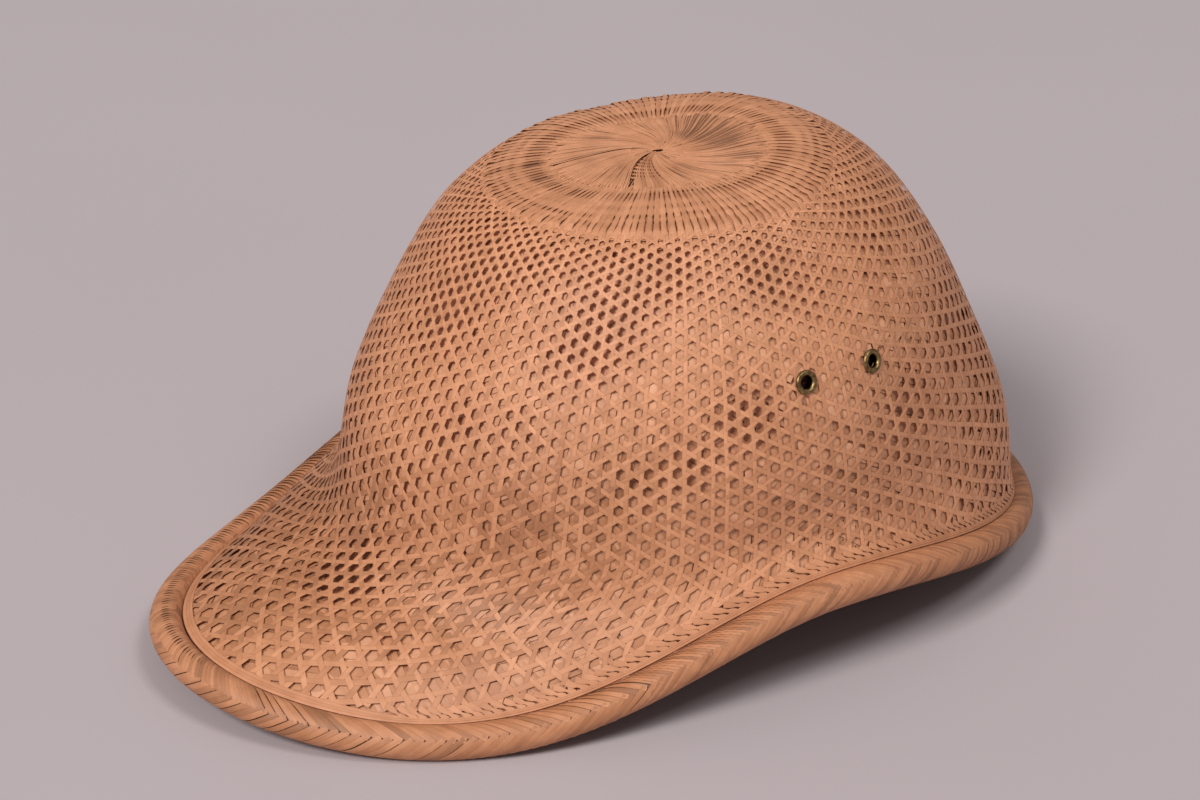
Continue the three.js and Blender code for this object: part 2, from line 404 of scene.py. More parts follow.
def gathered(azimuth, from_top):
    """How much closer the net is on the peak than elsewhere: the share, and the turn to its middle."""
    middle, spread, share = GATHERED
    start, length = GATHERED_FROM
    share = share * smoothstep((from_top - start) / length)
    aside = wrapped(azimuth - middle)
    turn = share * spread * np.tanh(aside / spread) * (1 + np.cos(aside)) / 2
    return share / np.cosh(aside / spread) ** 2, turn


def fall_table(form):
    """How far down each place lies from the disc's edge, in lengths of the cap's own radius there,
    and shorter ones on the peak, where the net is closer."""
    closer, _ = gathered(form.azimuth[:, None], form.from_top[None, :])
    density = FROM_TOP_STEP / np.maximum(form.round, 4.0) / (1 - closer)
    fall = np.cumsum(density, 1)
    start = round(DISC_EDGE / FROM_TOP_STEP)
    return fall - fall[:, start : start + 1]


def look_up(table, azimuth, column):
    """Bilinear value of a table at an azimuth and a fractional column."""
    row = np.degrees(azimuth) % 360 / AZIMUTH_STEP
    i = np.minimum(row.astype(int), len(table) - 2)
    j = np.clip(column, 0, table.shape[1] - 1.001)
    f = row - i
    g = j - j.astype(int)
    j = j.astype(int)
    if table.ndim == 3:
        f, g = f[..., None], g[..., None]
    low = table[i, j] * (1 - f) + table[i + 1, j] * f
    high = table[i, j + 1] * (1 - f) + table[i + 1, j + 1] * f
    return low * (1 - g) + high * g


def surface(azimuth, from_top):
    """Point, outward normal and radius of the outer face."""
    form = cap_form()
    column = from_top / FROM_TOP_STEP
    point = look_up(form.point, azimuth, column)
    normal = unit(look_up(form.normal, azimuth, column))
    return point, normal, look_up(form.round, azimuth, column)


def edge_distance(azimuth):
    form = cap_form()
    return np.interp(azimuth % TURN, form.azimuth, form.edge)


def settle(azimuth, fall):
    """Where a place of the regular net really lies: azimuth and distance from the top."""
    middle, spread, sway_fall, sway_spread, drift = SWAY
    moved = azimuth - CROWDING * np.sin(2 * (azimuth - CROWDING_FROM)) - LEAN * fall
    aside = wrapped(azimuth - middle)
    moved -= drift * np.exp(-((aside / spread) ** 2) - ((fall - sway_fall) / sway_spread) ** 2)
    form = cap_form()
    column = (fall / SLENDERNESS - form.fall_start) / FALL_STEP
    moved -= gathered(moved, look_up(form.from_top_at, moved, column))[1]
    return moved, look_up(form.from_top_at, moved, column)


def select_only(piece):
    """Makes a piece the only selected and the active one."""
    bpy.ops.object.select_all(action="DESELECT")
    piece.select_set(True)
    bpy.context.view_layer.objects.active = piece


class Straws:
    """Collects many straws and joins them into one mesh."""

    # Sections in half widths and half thicknesses.
    FLAT = ((-1, 1), (1, 1), (1, -1), (-1, -1))
    ROUND = ((-1, 0), (-0.55, 0.85), (0.55, 0.85), (1, 0), (0, -1))
    BROAD = ((-1, 1), (-0.5, 1), (0, 1), (0.5, 1), (1, 1), (1, -1), (-1, -1))
    SLIM = ((-1, 1), (0, 1), (1, 1), (1, -1), (-1, -1))
    SHARP = math.radians(40)  # edges sharper than this stay sharp
    PRESSED = 0.25  # straws lower than this are pressed flatter, so that none passes through the floor
    APART = 37.0  # step between the marks of two straws, so that their fibres differ

    def __init__(self, seed):
        self.random = np.random.default_rng(seed)
        self.points, self.corners, self.sizes, self.marks = [], [], [], []
        self.count = 0
        self.number = 0

    def add(self, path, normal, half_width, half_thickness, section=FLAT, closed=False, tint=None, bow=0.0):
        """One straw along a path. closed joins its end to its start, bow lowers its two sides,
        tint is a tone from 0, dark, to 1 for the whole straw or for each sample."""
        outline = np.array(section, float)
        ring, size = len(outline), len(path)
        run = np.roll(path, -1, 0) - np.roll(path, 1, 0) if closed else np.gradient(path, axis=0)
        run = unit(run)
        across = unit(np.cross(run, normal))
        up = np.cross(across, run)
        half_width = np.broadcast_to(half_width, size)[:, None, None]
        half_thickness = np.broadcast_to(half_thickness, size)[:, None, None]
        shape = path[:, None] + across[:, None] * half_width * outline[None, :, :1]
        height = half_thickness * outline[None, :, 1:] - bow * outline[None, :, :1] ** 2
        shape = shape + up[:, None] * height
        index = self.count + np.arange(size * ring).reshape(size, ring)
        ahead = np.roll(index, -1, 0) if closed else index[1:]
        here = index if closed else index[:-1]
        quads = np.stack([here, np.roll(here, -1, 1), np.roll(ahead, -1, 1), ahead], -1)
        self.points.append(shape.reshape(-1, 3))
        self.faces(quads.ravel(), [4] * (len(here) * ring))
        if not closed:
            self.faces(np.concatenate([index[0, ::-1], index[-1]]), [ring, ring])
        step = np.linalg.norm(np.diff(path, axis=0), axis=-1)
        mark = np.empty((size, ring, 3))
        mark[..., 0] = (np.concatenate([[0], np.cumsum(step)]) + self.APART * self.number)[:, None]
        mark[..., 1] = outline[:, 0]
        mark[..., 2] = np.reshape(self.random.uniform(0.2, 1.0) if tint is None else tint, (-1, 1))
        self.marks.append(mark.reshape(-1, 3))
        self.count += size * ring
        self.number += 1

    def faces(self, corners, sizes):
        self.corners.append(corners)
        self.sizes.append(np.array(sizes))

    def build(self, name):
        """Joins the straws into an object whose place is in its mesh."""
        points = np.concatenate(self.points)
        low = points[:, 2] < self.PRESSED
        points[low, 2] = self.PRESSED * np.exp(points[low, 2] / self.PRESSED - 1)
        points = points * MM
        corners = np.concatenate(self.corners).astype(np.int32)
        sizes = np.concatenate(self.sizes)
        starts = (np.cumsum(sizes) - sizes).astype(np.int32)
        mesh = bpy.data.meshes.new(name)
        mesh.vertices.add(len(points))
        mesh.vertices.foreach_set("co", points.astype(np.float32).ravel())
        mesh.loops.add(len(corners))
        mesh.loops.foreach_set("vertex_index", corners)
        mesh.polygons.add(len(starts))
        mesh.polygons.foreach_set("loop_start", starts)
        mark = mesh.attributes.new("straw", "FLOAT_VECTOR", "POINT")
        mark.data.foreach_set("vector", np.concatenate(self.marks).astype(np.float32).ravel())
        mesh.update(calc_edges=True)
        piece = bpy.data.objects.new(name, mesh)
        bpy.context.scene.collection.objects.link(piece)
        select_only(piece)
        bpy.ops.object.shade_smooth_by_angle(angle=self.SHARP)
        return piece


def outer_net(strands):
    """Phases of the three families of the outer net: per azimuth, per fall, offset."""
    turn = strands / TURN
    slant = turn * math.sqrt(3) / 2
    return {"upright": (turn, 0, 0), "falling": (turn / 2, slant, 0), "rising": (-turn / 2, slant, 0)}


def lining_net(strands):
    """The same net, turned so that it meets the outer one in evenly spread patches."""
    net = outer_net(strands)
    rows = 1 / (MEETING_ROWS * SLENDERNESS)
    start = MEETING_FALL * SLENDERNESS * rows
    round_turn = MEETINGS_ROUND / TURN
    upright = (net["upright"][0], rows, -start)
    per_azimuth, per_fall, _ = net["falling"]
    falling = (per_azimuth - round_turn, per_fall + rows / 2, round_turn * MEETING_AZIMUTH - start / 2)
    rising = tuple(b - a for a, b in zip(upright, falling))
    return {"upright": upright, "falling": falling, "rising": rising}


def patches(table, azimuth, from_top, radius):
    """Sum of the soft round patches of a table at a place."""
    total = 0 * from_top
    for azimuth_deg, distance, spread, depth in table:
        aside = wrapped(azimuth - math.radians(azimuth_deg))
        total += depth * np.exp(-((aside * radius) ** 2 + (from_top - distance) ** 2) / spread**2)
    return total


def stand_off(azimuth, from_top, radius):
    """How much deeper than usual the lining lies at a place."""
    across = azimuth * RIPPLE_RADIUS
    deeper = 0 * from_top
    for depth, waves in RIPPLES:
        deeper = deeper + depth * sum(np.sin(a * across + d * from_top + start) for a, d, start in waves)
    inset, spread, depth = RIM_FOLD
    deeper = deeper + depth * bell(edge_distance(azimuth) - from_top, inset, spread)
    return deeper + patches(STAND_OFFS, azimuth, from_top, radius)


# For each family, the family that counts its crossings, and whether it is over or under at whole counts.
CROSSING = {"upright": ("falling", 1), "falling": ("upright", -1), "rising": ("upright", 1)}


def net_lines(net, family, per_crossing):
    """Lines of one family: azimuth, fall and height (-1 to 1) along each straw."""
    a, b, c = net[family]
    other, sign = CROSSING[family]
    a2, b2, c2 = net[other]
    for n in range(round(abs(a) * TURN)):
        start = (n + 0.5 - c) / a
        rate = b2 - a2 * b / a
        first = a2 * start + c2
        ends = sorted((first + rate * -0.05, first + rate * FALL_END * SLENDERNESS))
        count = np.arange(math.ceil(ends[0] * per_crossing), math.floor(ends[1] * per_crossing) + 1)
        count = count / per_crossing
        fall = (count - first) / rate
        yield start - b / a * fall, fall, sign * np.cos(TURN * count)


def runs_of(mask):
    """Start and end of each unbroken stretch of a mask, at least three samples long."""
    edges = np.flatnonzero(np.diff(np.concatenate([[0], mask.astype(int), [0]])))
    return [(a, b) for a, b in zip(edges[::2], edges[1::2]) if b - a >= 3]


def eyelet_centres():
    places = np.array(list(EYELETS.values()), float)
    return surface(np.radians(places[:, 0]), places[:, 1])[0]


def weave_family(straws, net, family, layer):
    """Adds every straw of one family of a net, ended at the disc, the edge and the eyelets."""
    centres = eyelet_centres()
    for azimuth, fall, height in net_lines(net, family, layer.per_crossing):
        place, from_top = settle(azimuth, fall)
        point, normal, radius = surface(place, from_top)
        inside = from_top > drawn_in(place, DISC_EDGE - layer.start)
        inside &= from_top < edge_distance(place) - layer.clear(place)
        for centre in centres:
            inside &= np.linalg.norm(point - centre, axis=-1) > EYELET_CLEAR
        # Real stains, painted shade and a painted highlight change the net's tone here.
        tint = straws.random.uniform(*NET_TINT) - patches(STAINS_AND_PAINTED_SHADE, place, from_top, radius)
        tint = np.maximum(tint, DARKEST)
        deeper = layer.deeper(place, from_top, radius)
        closer, _ = gathered(place, from_top)
        breadth = layer.width(radius * (1 - closer), deeper) * straws.random.uniform(0.94, 1.06)
        wander = straws.random.uniform(0, TURN)
        lift = height * layer.lift - layer.depth - deeper - straws.random.uniform(-1, 1) * layer.jitter
        for first, last in runs_of(inside):
            piece = slice(first, last)
            path = point[piece] + normal[piece] * lift[piece, None]
            across = unit(np.cross(np.gradient(path, axis=0), normal[piece]))
            sway = WANDER * np.sin(np.arange(last - first) * WANDER_TURN + wander)
            path = path + across * sway[:, None]
            straws.add(path, normal[piece], breadth[piece] / 2, layer.thickness / 2, tint=tint[piece])


def finish_piece(piece, material, node):
    """Gives a piece its finish and binds it to the frame."""
    piece.data.materials.clear()
    piece.data.materials.append(material)
    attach(piece, "root")
    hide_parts(node)


def weave(net, layer, material):
    """Builds the pieces of a net, one for each family of its straws."""
    for seed, family in enumerate(net, layer.seed):
        straws = Straws(seed)
        weave_family(straws, net, family, layer)
        piece = straws.build(f"{layer.node}_{family}")
        finish_piece(piece, material, layer.node)


class NodeKit:
    """Short calls for building a material's node tree."""

    def __init__(self, name):
        self.material = bpy.data.materials.new(name)
        self.material.use_nodes = True
        self.tree = self.material.node_tree
        self.shader = next(n for n in self.tree.nodes if n.type == "BSDF_PRINCIPLED")

    def add(self, kind, **values):
        node = self.tree.nodes.new(kind)
        for key, value in values.items():
            setattr(node, key, value)
        return node

    def link(self, source, target):
        self.tree.links.new(source, target)

    def fed(self, kind, entry, source, **values):
        """A node with one linked input and set values, whose names have _ for a space."""
        node = self.add(kind)
        for name, value in values.items():
            node.inputs[name.replace("_", " ")].default_value = value
        self.link(source, node.inputs[entry])
        return node.outputs

    def noise(self, vector, scale, detail):
        return self.fed("ShaderNodeTexNoise", "Vector", vector, Scale=scale, Detail=detail)["Fac"]

    def stretched(self, vector, scale):
        return self.fed("ShaderNodeMapping", "Vector", vector, Scale=scale)["Vector"]

    def ramp(self, factor, stops):
        node = self.add("ShaderNodeValToRGB")
        elements = node.color_ramp.elements
        while len(elements) < len(stops):
            elements.new(0.5)
        for element, (place, colour) in zip(elements, stops):
            element.position = place
            element.color = (*colour, 1.0)
        self.link(factor, node.inputs["Fac"])
        return node.outputs["Color"]

    def mix(self, factor, first, second, blend="MIX"):
        node = self.add("ShaderNodeMix", data_type="RGBA", blend_type=blend)
        for socket, value in ((node.inputs[0], factor), (node.inputs[6], first), (node.inputs[7], second)):
            if isinstance(value, bpy.types.NodeSocket):
                self.link(value, socket)
            elif isinstance(value, (int, float)):
                socket.default_value = value
            else:
                socket.default_value = (*value, 1.0)
        return node.outputs[2]

    def shaded(self, tone, factor, stops, strength):
        """A tone multiplied by a ramp over a factor, with a strength from 0 to 1."""
        return self.mix(strength, tone, self.ramp(factor, stops), "MULTIPLY")

    def span(self, value, low, high):
        return self.fed("ShaderNodeMapRange", "Value", value, To_Min=low, To_Max=high)["Result"]

    def bump(self, height, strength, distance):
        node = self.add("ShaderNodeBump")
        node.inputs["Strength"].default_value = strength
        node.inputs["Distance"].default_value = distance
        self.link(height, node.inputs["Height"])
        for before in self.shader.inputs["Normal"].links:
            self.link(before.from_socket, node.inputs["Normal"])
        self.link(node.outputs["Normal"], self.shader.inputs["Normal"])


def grey(value):
    return (value, value, value)


def straw_material(name, light, dark, roughness, fibres, border_shade_and_bump):
    """Dry split straw: each straw its own tone, fine fibres along it, faint patches of age, painted shade
    along its two sides.
    fibres and the border strength are how strongly a straw's fibres and its two sides show, from 0 to 1:
    the sides are painted darker, as painted shade, and bumped lower."""
    kit = NodeKit(name)
    mark = kit.add("ShaderNodeAttribute", attribute_name="straw")
    parts = kit.add("ShaderNodeSeparateXYZ")
    kit.link(mark.outputs["Vector"], parts.inputs[0])
    middle = tuple(0.5 * (a + b) for a, b in zip(light, dark))
    deepest = tuple(0.5 * c for c in dark)
    brightest = tuple(1.1 * c for c in light)
    stops = ((0.0, deepest), (0.2, dark), (0.42, middle), (0.72, light), (1.0, brightest))
    tone = kit.ramp(parts.outputs["Z"], stops)
    along = kit.noise(kit.stretched(mark.outputs["Vector"], (0.09, 0.35, 21.0)), 1.0, 3.0)
    tone = kit.shaded(tone, along, ((0.30, (0.91, 0.88, 0.85)), (0.62, grey(1.0))), 1.0)
    fibre = kit.noise(kit.stretched(mark.outputs["Vector"], (0.22, 4.5, 21.0)), 1.0, 4.0)
    tone = kit.shaded(tone, fibre, ((0.28, (0.78, 0.72, 0.66)), (0.60, grey(1.04))), fibres)
    aside = kit.add("ShaderNodeMath", operation="ABSOLUTE")
    kit.link(parts.outputs["Y"], aside.inputs[0])
    # Painted shade: each straw is painted darker towards its two sides.
    tone = kit.shaded(tone, aside.outputs[0], ((0.70, grey(1.0)), (1.0, (0.76, 0.68, 0.60))), border_shade_and_bump)
    place = kit.add("ShaderNodeTexCoord")
    aged = kit.noise(place.outputs["Object"], 26.0, 3.0)
    tone = kit.shaded(tone, aged, ((0.34, (0.90, 0.86, 0.83)), (0.58, grey(1.0))), 0.8)
    mottled = kit.noise(place.outputs["Object"], 230.0, 2.0)
    tone = kit.shaded(tone, mottled, ((0.36, (0.90, 0.87, 0.84)), (0.62, grey(1.04))), 0.8)
    kit.link(tone, kit.shader.inputs["Base Color"])
    kit.link(kit.span(fibre, roughness - 0.10, roughness + 0.14), kit.shader.inputs["Roughness"])
    kit.shader.inputs["Specular IOR Level"].default_value = 0.60
    kit.bump(fibre, 0.30 * fibres, 0.00025)
    crowned = kit.ramp(aside.outputs[0], ((0.45, grey(1.0)), (1.0, grey(0.0))))
    kit.bump(crowned, border_shade_and_bump, 0.00004)
    return kit.material


def straw_finish(context, name, deep=False, fibres=0.4, border_shade_and_bump=0.8):
    """The cap's straw, in the tone of its outer face or of its lining."""
    settings = context.scene.straw_cap
    light = settings.lining_colour if deep else settings.straw_light
    return straw_material(name, tuple(light), tuple(settings.straw_dark), 0.58, fibres, border_shade_and_bump)


class StrawCapSettings(bpy.types.PropertyGroup):
    """Sizes and colours of the cap."""

    strands_round: bpy.props.IntProperty(
        name="Upright straws", description="Straws that come down from the top, counted round the cap",
        default=130, min=60, max=200)
    straw_width: bpy.props.FloatProperty(
        name="Straw width", description="Greatest width of a split straw of the outer net",
        default=2.3 * MM, unit="LENGTH", subtype="DISTANCE")
    straw_share: bpy.props.FloatProperty(
        name="Straw share", description="Share of the net's spacing that a straw of the outer net covers",
        default=0.318, min=0.1, max=0.6, subtype="FACTOR")
    straw_thickness: bpy.props.FloatProperty(
        name="Straw thickness", description="Thickness of a split straw",
        default=0.06 * MM, unit="LENGTH", subtype="DISTANCE")
    weave_lift: bpy.props.FloatProperty(
        name="Weave lift", description="How far a straw rises and dips where it crosses the others",
        default=0.022 * MM, unit="LENGTH", subtype="DISTANCE")
    lining_closed: bpy.props.FloatProperty(
        name="Closed lining", description="Share of the net's spacing that a straw of the lining covers",
        default=0.98, min=0.2, max=1, subtype="FACTOR")
    lining_open: bpy.props.FloatProperty(
        name="Loose lining", description="The same share where the lining is loose",
        default=0.74, min=0.2, max=1, subtype="FACTOR")
    straw_light: bpy.props.FloatVectorProperty(
        name="Straw", description="Light tone of the straw", default=(0.705, 0.330, 0.172),
        size=3, subtype="COLOR", min=0, max=1)
    straw_dark: bpy.props.FloatVectorProperty(
        name="Dark straw", description="Dark tone of the straw", default=(0.53, 0.228, 0.106),
        size=3, subtype="COLOR", min=0, max=1)
    # The lining's straw is lighter than the outer straw: partly its own greyer tone, partly painted light
    # that makes up for the shade in the net's holes.
    lining_colour: bpy.props.FloatVectorProperty(
        name="Lining", description="Light tone of the lining's straw", default=(0.74, 0.375, 0.212),
        size=3, subtype="COLOR", min=0, max=1)
    brass_colour: bpy.props.FloatVectorProperty(
        name="Brass", description="Colour of the aged brass", default=(0.36, 0.235, 0.10),
        size=3, subtype="COLOR", min=0, max=1)
    floor_colour: bpy.props.FloatVectorProperty(
        name="Floor", description="Colour of the floor", default=(0.49, 0.430, 0.445),
        size=3, subtype="COLOR", min=0, max=1)


class STRAWCAP_OT_crown_weave(bpy.types.Operator):
    """Weave the outer wall of crown and peak"""
    bl_idname = "straw_cap.crown_weave"
    bl_label = "Crown weave"

    def execute(self, context):
        settings = context.scene.straw_cap
        strands = settings.strands_round
        layer = SimpleNamespace(
            node="crown_weave",
            slot="straw",
            seed=11,
            per_crossing=4,
            lift=settings.weave_lift / MM,
            thickness=settings.straw_thickness / MM,
            depth=OUTER_DEPTH,
            jitter=0.01,
            start=-0.4,
            clear=lambda azimuth: OUTER_CLEAR + (BAND_CLEAR - OUTER_CLEAR) * band_share(azimuth),
            deeper=lambda azimuth, from_top, radius: 0 * radius,
            width=lambda radius, deeper: np.minimum(
                settings.straw_share * TURN * radius / strands, settings.straw_width / MM),
        )
        weave(outer_net(strands), layer, straw_finish(context, "straw"))
        return {"FINISHED"}


class STRAWCAP_OT_lining_weave(bpy.types.Operator):
    """Weave the closer inner wall"""
    bl_idname = "straw_cap.lining_weave"
    bl_label = "Lining weave"

    def execute(self, context):
        settings = context.scene.straw_cap
        strands = settings.strands_round

        def width(radius, deeper):
            loose = smoothstep((deeper - LOOSE[0]) / LOOSE[1])
            share = settings.lining_closed * (1 - loose) + settings.lining_open * loose
            return share * TURN * radius / strands

        layer = SimpleNamespace(
            node="lining_weave",
            slot="straw_inside",
            seed=31,
            per_crossing=2,
            lift=LINING_LIFT,
            thickness=settings.straw_thickness / MM,
            depth=LINING_DEPTH,
            jitter=0.015,
            start=2.5,
            clear=lambda azimuth: LINING_CLEAR,
            deeper=stand_off,
            width=width,
        )
        finish = straw_finish(context, "straw_inside", deep=True, border_shade_and_bump=0.15)
        weave(lining_net(strands), layer, finish)
        return {"FINISHED"}


def drawn_in(azimuth, from_top):
    """Where a ring of the top really lies, from its usual distance."""
    return from_top * (1 - np.interp(from_top, *DRAWN_IN) * np.cos(azimuth - DRAWN_FROM) ** 2)


class STRAWCAP_OT_crown_top(bpy.types.Operator):
    """Gather the radial straws of the top"""
    bl_idname = "straw_cap.crown_top"
    bl_label = "Crown top"

    RAY_SAMPLES = 45  # along a straw that comes in from the wall
    RAY_ENDS = (26.0, 30.5)  # distances from the top between which those straws end
    RAY_TINT = (0.45, 0.85)
    SAMPLES = 22  # along a fine straw
    REACHES = (1.0, 1.0, 0.93, 0.8)  # shares of the way to the slit that fine straws go
    FINE_BREADTH = (0.22, 0.9)
    FINE_TINT = (0.5, 0.95)
    SPARSE_STRAWS = 9  # of the sunken part
    SPARSE_TINT = (0.15, 0.75)
    CROSS_STRAWS = (7.0, 9.4, 11.8, 14.2, 16.6, 19.0, 21.4)  # straws across the sunken part
    WEFT_DEPTH = 0.42
    INNER_WEFT = (1.2, 1.35)  # step of the lining's wefts towards the top, and their depth

    def execute(self, context):
        straws = Straws(51)
        self.rays(straws)
        for number, (start, rise, darkness) in enumerate(LOCKS):
            end = LOCKS[number + 1][0] if number + 1 < len(LOCKS) else LOCKS[0][0] + 360
            if number == SUNKEN_LOCK:
                self.sunken(straws, math.radians(start), math.radians(end))
            else:
                self.lock(straws, math.radians(start), math.radians(end), rise, darkness)
        for from_top in WEFTS:
            self.weft(straws, from_top, self.WEFT_DEPTH)
        piece = straws.build("crown_top")
        finish_piece(piece, straw_finish(context, "straw_top", fibres=0.75), "crown_weave")
        lining = Straws(61)
        self.lining_rays(lining, context.scene.straw_cap.strands_round)
        step, depth = self.INNER_WEFT
        for from_top in WEFTS:
            self.weft(lining, from_top - step, depth)
        piece = lining.build("lining_top")
        finish = straw_finish(context, "straw_top_inside", deep=True)
        finish_piece(piece, finish, "lining_weave")
        return {"FINISHED"}

    def rays(self, straws):
        """Straws that come in from the wall and pass the rings of slits."""
        for n in range(RAYS):
            start = settle(np.array([(n + 0.5) * TURN / RAYS]), np.array([0.0]))[0][0]
            start += straws.random.uniform(-0.004, 0.004)
            inner_end = straws.random.uniform(*self.RAY_ENDS)
            ring_place = np.linspace(TOP_END, inner_end, self.RAY_SAMPLES)
            from_top = drawn_in(start, ring_place)
            azimuth = np.full_like(from_top, start)
            point, normal, radius = surface(azimuth, from_top)
            gap = 0 * from_top
            for ring, spread, widest in SLIT_ROWS:
                ring = ring + straws.random.uniform(-0.4, 0.4)
                wide = widest * straws.random.uniform(0.35, 1.0)
                gap += wide * bell(ring_place, ring, spread, 4)
            breadth = TURN * radius / RAYS * (1.06 - gap)
            ease = 0.25 * smoothstep((ring_place - 49.0) / 2.0)
            ease = ease + 0.3 * smoothstep((inner_end + 3.0 - ring_place) / 3.0)
            rise = straws.random.uniform(-0.02, 0.02) - 0.12 - ease
            rise = rise + straws.random.uniform(0.0, 0.5) * bell(ring_place, 48.8, 0.9)
            tint = straws.random.uniform(*self.RAY_TINT) - patches(RING_STREAKS, azimuth, from_top, radius)
            # Painted shade: each straw is painted darker where the slits beside it are wide.
            tint = np.maximum(tint - 0.5 * gap, 0)
            straws.add(point + normal * rise[:, None], normal, breadth / 2, 0.10, Straws.ROUND, tint=tint)

    def swirl(self, azimuth, share):
        """Path of a straw on the inner disc from its rim to the slit, by shares of its way."""
        end = azimuth - SWIRL - SLIT_AZIMUTH
        half_length, half_width = SLIT
        slit = 1 / math.hypot(math.cos(end) / half_length, math.sin(end) / half_width)
        ring_place = LOCK_START + (slit - LOCK_START) * share
        rim = drawn_in(azimuth, LOCK_START)
        from_top = rim + (slit - rim) * share
        inner = np.clip(1 - ring_place / LOCK_RIM, 0, 1)
        azimuth = azimuth - SWIRL * inner**SWIRL_POWER
        point, normal, radius = surface(azimuth, from_top)
        brown = patches(STREAKS, azimuth, from_top, from_top)
        return point, normal, radius, ring_place, brown

    def lock(self, straws, start, end, rise, darkness):
        """Fine straws that swirl in together from the rim of the inner disc to the slit."""
        share = np.linspace(0, 1, self.SAMPLES)
        count = round(FINE_STRAWS * (end - start) / TURN)
        for k in range(count):
            place = (k + straws.random.uniform(0.2, 0.8)) / count
            reach = share * straws.random.choice(self.REACHES)
            closer = 0.02 * (end - start) * (0.5 - place)
            azimuth = start + place * (end - start) + closer
            point, normal, radius, from_top, brown = self.swirl(azimuth, reach)
            breadth = np.clip(1.3 * TURN * radius / FINE_STRAWS, *self.FINE_BREADTH)
            height = rise * (place**2 - 0.3) * smoothstep((23 - from_top) / 9)
            height = height * smoothstep((from_top - 1) / 7)
            dip = straws.random.uniform(27.5, 31.0)
            height = height + straws.random.uniform(-0.04, 0.04) - 0.35 * smoothstep((from_top - dip) / 2)
            height = height - 0.3 * smoothstep((3.2 - from_top) / 2)
            tint = straws.random.uniform(*self.FINE_TINT) - straws.random.uniform(0.1, 1.7) * brown
            if straws.random.random() < darkness * (0.5 + place):
                middle, spread = straws.random.uniform(5, 27), straws.random.uniform(4, 9)
                tint -= straws.random.uniform(0.4, 0.9) * bell(from_top, middle, spread)
            tint = np.clip(tint, 0, 1)
            straws.add(point + normal * height[:, None], normal, breadth / 2, 0.07, Straws.ROUND, tint=tint)

    def sunken(self, straws, start, end):
        """Sparse straws where the locks part and the layer below shows through slits."""
        share = np.linspace(0, 1, self.SAMPLES)
        count = self.SPARSE_STRAWS
        for k in range(1, count):
            azimuth = start + (k + straws.random.uniform(0.35, 0.65)) / count * (end - start)
            point, normal, radius, from_top, _ = self.swirl(azimuth, share)
            hollow = smoothstep((from_top - 3) / 4) * smoothstep((25 - from_top) / 6)
            spacing = (end - start) * radius / count
            open_share = 0.75 if k == 1 else straws.random.uniform(0.25, 0.60)
            breadth = np.clip(spacing * (1.2 - open_share * hollow), 0.26, 1.6)
            height = straws.random.uniform(-0.05, 0.05) - 0.1 - 0.3 * hollow
            height = height - 0.3 * smoothstep((from_top - 28) / 3)
            tint = straws.random.uniform(*self.SPARSE_TINT)
            straws.add(point + normal * height[:, None], normal, breadth / 2, 0.08, Straws.ROUND, tint=tint)
        for middle in self.CROSS_STRAWS:
            azimuth = np.linspace(start - 0.02, end + 0.02, 9)
            from_top = drawn_in(azimuth, middle)
            azimuth = azimuth - SWIRL * (1 - middle / LOCK_RIM) ** SWIRL_POWER
            point, normal, _ = surface(azimuth, from_top)
            straws.add(point - normal * 0.50, normal, 0.50, 0.07, tint=straws.random.uniform(0.15, 0.6))

    def lining_rays(self, straws, strands):
        """Plain inner straws of the top, which close it from below."""
        from_top = np.linspace(TOP_END, 4.0, 16)
        for n in range(strands):
            azimuth = n * TURN / strands - 0.25 * (1 - from_top / TOP_END)
            point, normal, radius = surface(azimuth, from_top)
            spacing = TURN * radius / strands
            path = point - normal * (LINING_DEPTH + 0.12 * (n % 2))
            breadth = np.clip(1.04 * spacing, 0.5, 2.8)
            hollow_start = math.radians(LOCKS[SUNKEN_LOCK][0] - 40)
            hollow_end = math.radians(LOCKS[SUNKEN_LOCK + 1][0] - 20)
            if hollow_start < azimuth[8] % TURN < hollow_end:
                breadth *= 1 - 0.6 * smoothstep((26 - from_top) / 5)
            straws.add(path, normal, breadth / 2, 0.1)

    def weft(self, straws, from_top, depth):
        """Straw that runs round the top and ties the radial straws."""
        azimuth = np.linspace(0, TURN, 240, endpoint=False)
        point, normal, _ = surface(azimuth, drawn_in(azimuth, from_top))
        straws.add(point - normal * depth, normal, 0.5, 0.12, closed=True, tint=0.15)


@functools.lru_cache(maxsize=1)
def edge_rail():
    """The edge by its own length: table of azimuth over distance, and the whole length."""
    azimuth = np.linspace(0, TURN, 3601)
    centre, _ = edge_line(azimuth)
    step = np.linalg.norm(np.diff(centre, axis=0), axis=-1)
    return azimuth, np.concatenate([[0], np.cumsum(step)])


def edge_azimuth(distance):
    azimuth, length = edge_rail()
    return np.interp(distance % length[-1], length, azimuth)


